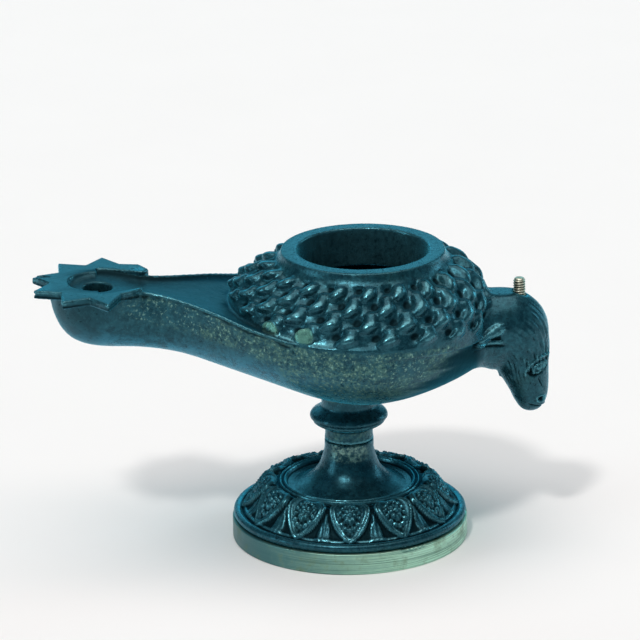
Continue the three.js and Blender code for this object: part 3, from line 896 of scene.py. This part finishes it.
def foot_profile():
    flare_at = through([(RING_HEIGHT + z, r) for r, z in
                        ((17.2, -0.9), (13.6, 1.2), (10.6, 4.2), (8.9, 8.0), (COLUMN_RADIUS, 11.5))])
    points = [(0, FOOT_TOP), (COLUMN_RADIUS - 0.25, FOOT_TOP), (COLUMN_RADIUS, FOOT_TOP - 0.25)]
    top = FOOT_TOP - FOOT_BOTTOM
    for level in np.linspace(top - 0.8, RING_HEIGHT - 0.9, 44):
        points.append((float(flare_at(level)), FOOT_BOTTOM + level))
    for r in np.linspace(17.6, RING_RADIUS + RING_WIDTH - 0.1, 52):
        dish = -0.5 * hump(r, 18.8, 1.2)
        rings = 1.45 * hump(r, RING_RADIUS, 0.5) + 1.0 * hump(r, 22.7, 0.36)
        level = mix(RING_HEIGHT - 0.9 + dish, RING_HEIGHT - 0.6, smooth(r, 21.4, 22.2)) + rings
        points.append((float(r), FOOT_BOTTOM + float(level)))
    band_start = len(points)
    for i in range(BAND_ROWS + 1):
        r, z = band_point(i / BAND_ROWS)
        groove = 0.8 * hump(r, FOOT_RADIUS - 2.9, 0.5)
        points.append((float(r), float(z - groove)))
    for angle in np.linspace(math.radians(138), math.radians(-90), 20):
        half = BEAD_HEIGHT / 2 + 0.1
        r = FOOT_RADIUS - half + half * math.cos(angle)
        points.append((r, FOOT_BOTTOM + half + half * math.sin(angle)))
    points += [(FOOT_RADIUS - 3, FOOT_BOTTOM), (20, FOOT_BOTTOM), (0, FOOT_BOTTOM)]
    return points, band_start


def ridges(points):
    """How far each point of a profile stands proud of its neighbours, without the two ends on the axis."""
    line = np.array(points[1:-1])
    even = line.copy()
    for _ in range(10):
        even[1:-1] = (even[:-2] + even[2:]) / 2
    along = np.gradient(line, axis=0)
    out = np.stack([-along[:, 1], along[:, 0]], 1)
    out /= np.linalg.norm(out, axis=1)[:, None] + 1e-9
    return np.clip(((line - even) * out).sum(1) * 5, -0.6, 0.7)


def foot():
    points, band_start = foot_profile()
    rows = len(points) - 2
    out = np.full((rows, 1), -1.0)
    out[band_start - 1 : band_start + BAND_ROWS, 0] = np.arange(BAND_ROWS + 1) / BAND_ROWS
    turn = np.linspace(0, 2 * math.pi, FOOT_SIDES, endpoint=False)[None, :]
    height = np.where(out >= 0, leaves(turn, out), 0)

    def relief(turn, radius, level):
        return radius + 0.45 * height, level + 0.85 * height

    piece = round_mesh("foot_casting", points, FOOT_SIDES, relief)
    # The profile's rings and bead count as proud and its grooves as hollow: partly wear, partly painted
    # highlight on the rings and painted shade in the grooves.
    height = height + (ridges(points) * (np.array(points)[1:-1, 0] > 17))[:, None]
    near = sum(np.roll(height, s, 1) for s in (-7, -4, -2, 2, 4, 7)) / 6
    for s in (3, 6):
        near = mix(near, (np.roll(height, s, 0) + np.roll(height, -s, 0)) / 2, 0.4)
    # Painted shade in the recesses of the relief, with the flat ground between the leaves darker too.
    ground = 0.5 * (out >= 0) * (1 - smooth(height, 0.1, 0.5))
    hollow = np.clip((near - height) * 1.8 + ground, 0, 1)
    mark(piece, "hollow", np.append(hollow.ravel(), [0, 0]))
    mark(piece, "edge", np.append(np.clip((height - near) * 3.2 - 0.1, 0, 1).ravel(), [0, 0]))
    x, y, z = places_of(piece).T
    mark(piece, "olive", smooth(z, 26, 29) * hump(np.arctan2(y, x), -1.62, 0.75))
    mark(piece, "boss", np.zeros(len(x)))
    mark(piece, "painted_underglow", np.zeros(len(x)))
    return piece


def base_plate():
    edge = 0.45
    points = [(0, PLATE_HEIGHT), (30, PLATE_HEIGHT)]
    for angle in np.linspace(90, 0, 6):
        a = math.radians(angle)
        points.append((PLATE_RADIUS - edge + edge * math.cos(a), PLATE_HEIGHT - edge + edge * math.sin(a)))
    points += [(PLATE_RADIUS, z) for z in np.linspace(PLATE_HEIGHT - 0.9, 0.9, 20)]
    for angle in np.linspace(0, -90, 6):
        a = math.radians(angle)
        points.append((PLATE_RADIUS - edge + edge * math.cos(a), edge + edge * math.sin(a)))
    points += [(30, 0), (0, 0)]

    def chipped(turn, radius, level):
        chips = np.zeros(np.broadcast(turn, radius).shape)
        for i, place in enumerate(CHIP_TURNS):
            size = 0.012 + 0.006 * math.sin(7 * i)
            chips = np.maximum(chips, hump(turn - 2 * math.pi * (turn > math.pi), place, size))
        chips = chips * smooth(level, PLATE_HEIGHT - 1.1, PLATE_HEIGHT - 0.3) * (radius > 37)
        return radius - 0.4 * chips, level - 0.25 * chips

    return round_mesh("base_plate_turned", points, 480, chipped)


def handle_stud():
    bottom = BODY_BOTTOM + CROWN_LEVEL - STUD_SUNK
    top = BODY_BOTTOM + CROWN_LEVEL + STUD_HEIGHT
    core = STUD_RADIUS - 0.34
    levels = np.linspace(bottom, top - 0.35, 110)
    points = [(0, top), (core - 0.35, top), (core - 0.05, top - 0.18)]
    points += [(core, z) for z in levels[::-1]] + [(0, bottom)]

    def thread(turn, radius, level):
        phase = (level / STUD_PITCH - turn / (2 * math.pi)) % 1
        ridge = 1 - np.abs(2 * phase - 1)
        ends = smooth(level, bottom, bottom + 0.5) * (1 - smooth(level, top - 0.8, top - 0.4))
        worn = 0.85 + 0.15 * np.sin(2 * turn + 0.7)
        return radius + 0.34 * smooth(ridge, 0.12, 0.8) * ends * worn, level + 0 * turn

    piece = round_mesh("handle_stud_threaded", points, 56, thread)
    x, y, z = places_of(piece).T
    depth = 1 - (np.hypot(x, y) - core) / 0.34
    # Painted shade in the thread's grooves.
    mark(piece, "hollow", smooth(depth, 0.35, 0.9) * (z < top - 0.6))
    piece.data.transform(Matrix.Translation((STUD_X * MM, 0, 0)))
    return piece


# Materials

class Look:
    """A material's nodes. Sizes of patterns are given in millimetres."""

    def __init__(self, name):
        self.material = bpy.data.materials.new(name)
        self.material.use_nodes = True
        self.tree = self.material.node_tree
        self.shader = self.tree.nodes["Principled BSDF"]
        self.place = self.add("ShaderNodeTexCoord").outputs["Object"]

    def add(self, kind, inputs=None, **settings):
        made = self.tree.nodes.new(kind)
        for key, value in settings.items():
            setattr(made, key, value)
        for key, value in (inputs or {}).items():
            self.put(made.inputs[key], value)
        return made

    def put(self, socket, value):
        if isinstance(value, bpy.types.NodeSocket):
            self.tree.links.new(value, socket)
        else:
            socket.default_value = value

    def give(self, name, value):
        self.put(self.shader.inputs[name], value)

    def noise(self, size, detail=4.0, rough=0.55, stretch=None):
        place = self.place
        if stretch:
            place = self.add("ShaderNodeMapping", {"Vector": place, "Scale": stretch}).outputs[0]
        inputs = {"Vector": place, "Scale": 1000 / size, "Detail": detail, "Roughness": rough}
        return self.add("ShaderNodeTexNoise", inputs).outputs["Fac"]

    def ramp(self, value, low, high, start=0.0, end=1.0):
        inputs = {"Value": value, "From Min": low, "From Max": high, "To Min": start, "To Max": end}
        return self.add("ShaderNodeMapRange", inputs, interpolation_type="SMOOTHSTEP").outputs["Result"]

    def math(self, kind, a, b, clamp=False):
        return self.add("ShaderNodeMath", {0: a, 1: b}, operation=kind, use_clamp=clamp).outputs[0]

    def times(self, a, b):
        return self.math("MULTIPLY", a, b)

    def mixed(self, share, a, b):
        made = self.add("ShaderNodeMix", {"Factor": share}, data_type="RGBA")
        colours = [s for s in made.inputs if s.type == "RGBA"]
        self.put(colours[0], a if isinstance(a, bpy.types.NodeSocket) else (*a, 1))
        self.put(colours[1], b if isinstance(b, bpy.types.NodeSocket) else (*b, 1))
        return [s for s in made.outputs if s.type == "RGBA"][0]

    def mark(self, name):
        return self.add("ShaderNodeAttribute", attribute_name=name).outputs["Fac"]

    def bump(self, height, distance, strength=1.0, below=None):
        inputs = {"Height": height, "Distance": distance * MM, "Strength": strength}
        if below is not None:
            inputs["Normal"] = below
        return self.add("ShaderNodeBump", inputs).outputs["Normal"]


PATINA_DEEP = (0.005, 0.028, 0.040)
PATINA_THIN = (0.014, 0.070, 0.092)
PATINA_GREEN = (0.010, 0.042, 0.040)
PAINTED_UNDERGLOW_CYAN = (0.03, 0.20, 0.30)
OLIVE_BRASS = (0.062, 0.125, 0.088)
PALE_BRASS = (0.28, 0.42, 0.34)
FLECKS = (0.20, 0.36, 0.30)
SPECKLE = (0.05, 0.18, 0.22)
WORN_AND_LIT_COLOUR = (0.08, 0.25, 0.30)
POLISHED = (0.13, 0.31, 0.24)
GRIME_AND_SHADE_COLOUR = (0.0015, 0.006, 0.008)
PATINA_SHEEN = (0.1, 0.75, 1.0)
PATINA_GLOSS = (0.26, 0.78, 1.0)


def patina(name, bare):
    """Blue-green patina, black with grime and painted shade in the hollows, paler on what stands proud and
    brassy where marked olive.
    """
    look = Look(name)
    hollow, edge = look.mark("hollow"), look.mark("edge")
    olive, boss = look.mark("olive"), look.mark("boss")
    broad = look.noise(15, 3)
    blotch = look.noise(3.4, 6, 0.65)
    mottle = look.noise(1.3, 5, 0.75)
    speck = look.noise(1.1, 4, 0.75)
    grain = look.noise(0.4, 2)

    colour = look.mixed(look.ramp(blotch, 0.35, 0.7), PATINA_DEEP, PATINA_THIN)
    colour = look.mixed(look.times(look.ramp(broad, 0.5, 0.75), 0.5), colour, PATINA_GREEN)
    # Painted reflection: pale cyan on the hull's underside.
    painted_underglow = look.times(look.mark("painted_underglow"), look.ramp(blotch, 0.25, 0.6))
    colour = look.mixed(look.times(painted_underglow, 0.85), colour, PAINTED_UNDERGLOW_CYAN)
    cover = look.math("ADD", look.times(blotch, 0.35), look.times(speck, 0.65))
    brassy = look.times(look.ramp(cover, 0.44, 0.58), look.ramp(broad, 0.30, 0.55))
    brassy = look.times(brassy, look.ramp(olive, 0.1, 0.7))
    colour = look.mixed(look.times(brassy, 0.85), colour, bare)
    flecks = look.math("MAXIMUM", look.ramp(speck, 0.57, 0.65), look.ramp(cover, 0.56, 0.63))
    flecks = look.times(flecks, look.ramp(olive, 0.2, 0.8))
    colour = look.mixed(look.times(flecks, 0.85), colour, FLECKS)
    colour = look.mixed(look.times(look.ramp(mottle, 0.51, 0.62), 0.25), colour, SPECKLE)
    # Paler where the edge mark is high: wear on edges and tips, and painted light on the mouth's wall and the
    # foot's rings.
    worn = look.times(look.ramp(edge, 0.3, 0.8), look.ramp(mottle, 0.34, 0.50))
    colour = look.mixed(look.times(worn, 0.75), colour, WORN_AND_LIT_COLOUR)
    polished = look.times(boss, look.ramp(blotch, 0.25, 0.5))
    colour = look.mixed(look.times(polished, 0.9), colour, POLISHED)
    pits = look.times(look.ramp(speck, 0.44, 0.35), look.ramp(broad, 0.3, 0.55))
    pits = look.math("MAXIMUM", pits, look.times(look.ramp(mottle, 0.46, 0.37), 0.4))
    # Near black in random pits and, as painted shade, wherever the hollow mark is high.
    grime_and_shade = look.math("MAXIMUM", look.ramp(hollow, 0.2, 0.75), look.times(pits, 0.95))
    colour = look.mixed(look.times(grime_and_shade, 0.9), colour, GRIME_AND_SHADE_COLOUR)
    look.give("Base Color", colour)

    metal = look.math("MAXIMUM", look.times(brassy, 0.1), look.times(worn, 0.3))
    metal = look.math("ADD", metal, 0.4, True)
    look.give("Metallic", look.math("MAXIMUM", metal, look.times(grime_and_shade, 0.9)))
    look.give("Sheen Weight", 0.5)
    look.give("Sheen Roughness", 0.3)
    look.give("Sheen Tint", (*PATINA_SHEEN, 1))
    look.give("IOR", 1.75)
    look.give("Specular Tint", (*PATINA_GLOSS, 1))
    rough = look.ramp(blotch, 0.25, 0.75, 0.2, 0.34)
    rough = look.math("ADD", rough, look.times(grime_and_shade, 0.3))
    rough = look.math("SUBTRACT", rough, look.times(worn, 0.08), True)
    look.give("Roughness", rough)
    normal = look.bump(blotch, 0.16, 0.7)
    normal = look.bump(speck, 0.07, 0.7, normal)
    normal = look.bump(grain, 0.02, 0.6, normal)
    look.give("Normal", normal)
    return look.material


def turned_brass():
    """Dulled brass with fine turning lines and a few stains, with painted light: darker on the nozzle's side
    and a painted sheen on the other.
    """
    look = Look("turned_brass")
    lines = look.noise(1.0, 5, 0.7, (0.03, 0.03, 3.2))
    blotch = look.noise(6, 5, 0.6)
    spots = look.noise(1.6, 4, 0.6)
    # Painted light across the plate: darker towards the nozzle's side, a painted sheen along the turning
    # lines towards the head's side.
    across = look.add("ShaderNodeSeparateXYZ", {0: look.place}).outputs["X"]
    across = look.ramp(look.math("ADD", across, look.times(blotch, 0.03)), -0.02, 0.045)
    colour = look.mixed(look.ramp(lines, 0.3, 0.7), (0.135, 0.28, 0.21), (0.225, 0.41, 0.31))
    colour = look.mixed(look.math("SUBTRACT", 0.8, across, True), colour, (0.03, 0.12, 0.15))
    colour = look.mixed(look.times(across, look.ramp(lines, 0.35, 0.6)), colour, (0.52, 0.85, 0.68))
    colour = look.mixed(look.times(look.ramp(blotch, 0.5, 0.7), 0.6), colour, (0.13, 0.19, 0.10))
    stain = look.math("MAXIMUM", look.ramp(spots, 0.66, 0.74), look.times(look.ramp(blotch, 0.64, 0.72), 0.8))
    colour = look.mixed(look.times(stain, 0.7), colour, (0.04, 0.09, 0.08))
    look.give("Base Color", colour)
    look.give("Metallic", 0.7)
    look.give("Roughness", look.ramp(blotch, 0.3, 0.7, 0.32, 0.46))
    normal = look.bump(lines, 0.06, 0.7)
    look.give("Normal", look.bump(spots, 0.06, 0.5, normal))
    return look.material


def stud_brass():
    """Worn brass, with dirt and painted shade between the threads."""
    look = Look("stud_brass")
    blotch = look.noise(0.8, 4)
    dirt = look.noise(2.0, 3)
    colour = look.mixed(look.ramp(blotch, 0.4, 0.65), (0.42, 0.43, 0.33), (0.70, 0.74, 0.62))
    colour = look.mixed(look.times(look.ramp(dirt, 0.5, 0.7), 0.6), colour, (0.08, 0.09, 0.06))
    # Painted shade between the threads.
    colour = look.mixed(look.times(look.mark("hollow"), 0.9), colour, (0.02, 0.03, 0.025))
    look.give("Base Color", colour)
    look.give("Metallic", 0.85)
    look.give("Roughness", look.ramp(dirt, 0.3, 0.7, 0.3, 0.5))
    look.give("Normal", look.bump(blotch, 0.05, 0.5))
    return look.material


# Studio. The camera's distance and aim are in metres, and its focal length in millimetres.

PITCH, ROLL, PAN, TILT, YAW = (math.radians(a) for a in (19.902, 0.59, 0.319, 0.956, 4.907))
CAMERA_DISTANCE = 1.63203
CAMERA_AIM = Vector((0, 0, 0.045))
LENS = 281.25


def add_camera():
    back = Vector((0, -math.cos(PITCH), math.sin(PITCH)))
    ahead, right = -back, Vector((1, 0, 0))
    up = right.cross(ahead)
    turn = Matrix.Rotation(PAN, 3, up)
    ahead, right = turn @ ahead, turn @ right
    turn = Matrix.Rotation(TILT, 3, right)
    ahead, up = turn @ ahead, turn @ up
    turn = Matrix.Rotation(ROLL, 3, ahead)
    right, up = turn @ right, turn @ up
    pose = Matrix((right, up, -ahead)).transposed().to_4x4()
    pose.translation = CAMERA_AIM + back * CAMERA_DISTANCE
    data = bpy.data.cameras.new("camera")
    data.lens = LENS
    data.sensor_width = 36
    data.clip_end = 20
    camera = bpy.data.objects.new("camera", data)
    camera.matrix_world = Matrix.Rotation(-YAW, 4, "Z") @ pose
    bpy.context.scene.collection.objects.link(camera)
    bpy.context.scene.camera = camera


def add_light(name, place, aim, size, power, colour=(1, 1, 1)):
    data = bpy.data.lights.new(name, "AREA")
    data.shape = "RECTANGLE"
    data.size, data.size_y = size
    data.energy = power
    data.color = colour
    light = bpy.data.objects.new(name, data)
    light.location = place
    light.rotation_euler = (Vector(aim) - Vector(place)).to_track_quat("-Z", "Y").to_euler()
    bpy.context.scene.collection.objects.link(light)


def add_sun():
    key = bpy.data.lights.new("key", "SUN")
    key.energy = 1.0
    key.angle = math.radians(6)
    key.color = (1.0, 0.96, 0.92)
    sun = bpy.data.objects.new("key", key)
    sun.rotation_euler = Vector((0.28, 0.55, -0.85)).to_track_quat("-Z", "Y").to_euler()
    bpy.context.scene.collection.objects.link(sun)


def add_floor():
    look = Look("pale_floor")
    colour = look.mixed(look.noise(60, 2), (0.875, 0.87, 0.87), (0.895, 0.89, 0.89))
    look.give("Base Color", colour)
    look.give("Roughness", 0.95)
    look.give("Specular IOR Level", 0.0)
    half = 6000
    corners = [(-half, -half, 0), (half, -half, 0), (half, half, 0), (-half, half, 0)]
    floor = add_mesh("floor", corners, [np.array([[0, 1, 2, 3]])], False)
    floor.data.materials.append(look.material)


def add_studio():
    world = bpy.data.worlds.new("studio")
    world.use_nodes = True
    world.node_tree.nodes["Background"].inputs["Color"].default_value = (0.25, 0.80, 1.0, 1)
    world.node_tree.nodes["Background"].inputs["Strength"].default_value = 0.2
    bpy.context.scene.world = world
    middle = (0, 0, 0.06)
    add_sun()
    add_light("top", (0.0, -0.4, 8.0), middle, (9.0, 9.0), 637, (1.0, 0.80, 0.735))
    add_light("side", (7.2, 3.4, 2.4), middle, (1.6, 4.0), 80, (0.5, 0.9, 1.0))
    add_light("back", (0.0, 8.0, 3.2), middle, (10.0, 3.0), 110, (0.25, 0.85, 1.0))
    add_light("left", (-7.6, -1.6, 2.0), middle, (1.6, 4.0), 90, (0.7, 0.95, 1.0))
    add_floor()
    bpy.context.scene.view_settings.view_transform = "Standard"


add_camera()
add_studio()
for make, node, slot, look in (
    (lamp_body, "lamp_body", "patinated_bronze", patina("patinated_bronze", OLIVE_BRASS)),
    (foot, "foot", "foot_bronze", patina("foot_bronze", PALE_BRASS)),
    (base_plate, "base_plate", "brass", turned_brass()),
    (handle_stud, "handle_stud", "stud_brass", stud_brass()),
):
    piece = make()
    piece.data.materials.clear()
    piece.data.materials.append(look)
    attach(piece, "root")
    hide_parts(node)

bpy.context.view_layer.update()
